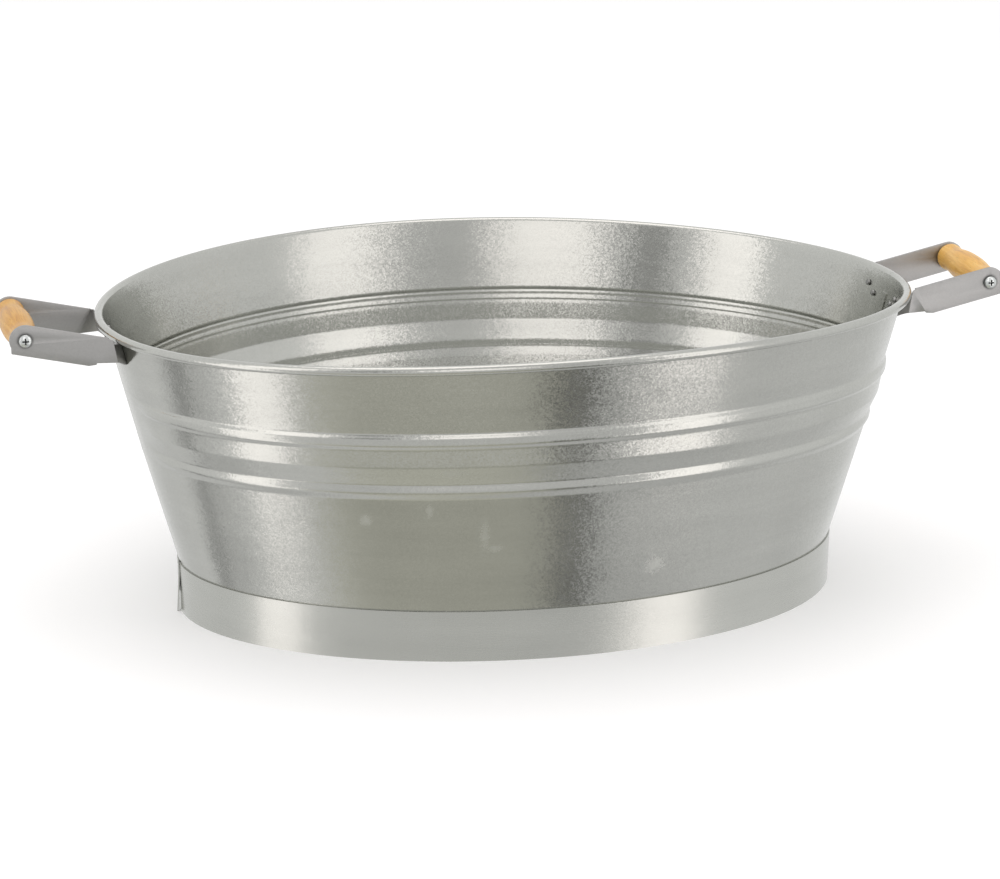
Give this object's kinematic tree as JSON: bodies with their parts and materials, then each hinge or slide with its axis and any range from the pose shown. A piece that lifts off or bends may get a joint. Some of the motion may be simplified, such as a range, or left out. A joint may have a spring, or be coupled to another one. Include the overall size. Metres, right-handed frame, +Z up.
{
  "type": "oval wash tub",
  "caption": "Oval galvanised wash tub with a wired rim, pressed beads, a foot ring and turned wooden grips on strap brackets at both ends.",
  "frame": {"origin": "on the ground under the middle of the tub", "axes": "+X along the tub towards the right-hand handle, +Y away from the viewer across the tub, +Z up"},
  "size_m": [0.7434, 0.4486, 0.2343],
  "materials": {
    "galvanised_sheet": "satin",
    "rim_wire": "satin",
    "handle_strap": "satin",
    "rivets": "satin",
    "grip_wood": "varnished",
    "screws": "bright plated"
  },
  "bodies": {
    "tub": {"front_wall": "galvanised_sheet", "back_wall": "galvanised_sheet", "left_seam_strip": "galvanised_sheet", "right_seam_strip": "galvanised_sheet", "rim_wire": "rim_wire", "floor_pan": "galvanised_sheet", "foot_ring": "galvanised_sheet", "left_front_arm": "handle_strap", "left_rear_arm": "handle_strap", "right_front_arm": "handle_strap", "right_rear_arm": "handle_strap", "left_front_rivets": "rivets", "left_rear_rivets": "rivets", "right_front_rivets": "rivets", "right_rear_rivets": "rivets"},
    "left_handle_grip": {"left_grip": "grip_wood", "left_front_screw": "screws", "left_rear_screw": "screws"},
    "right_handle_grip": {"right_grip": "grip_wood", "right_front_screw": "screws", "right_rear_screw": "screws"}
  },
  "joints": [
    {"name": "left_grip_turn", "type": "hinge", "parent": "tub", "child": "left_handle_grip", "pos_m": [-0.36, 0, 0.2226], "axis": [0, 1, 0], "continuous": true},
    {"name": "right_grip_turn", "type": "hinge", "parent": "tub", "child": "right_handle_grip", "pos_m": [0.36, 0, 0.2226], "axis": [0, 1, 0], "continuous": true}
  ]
}
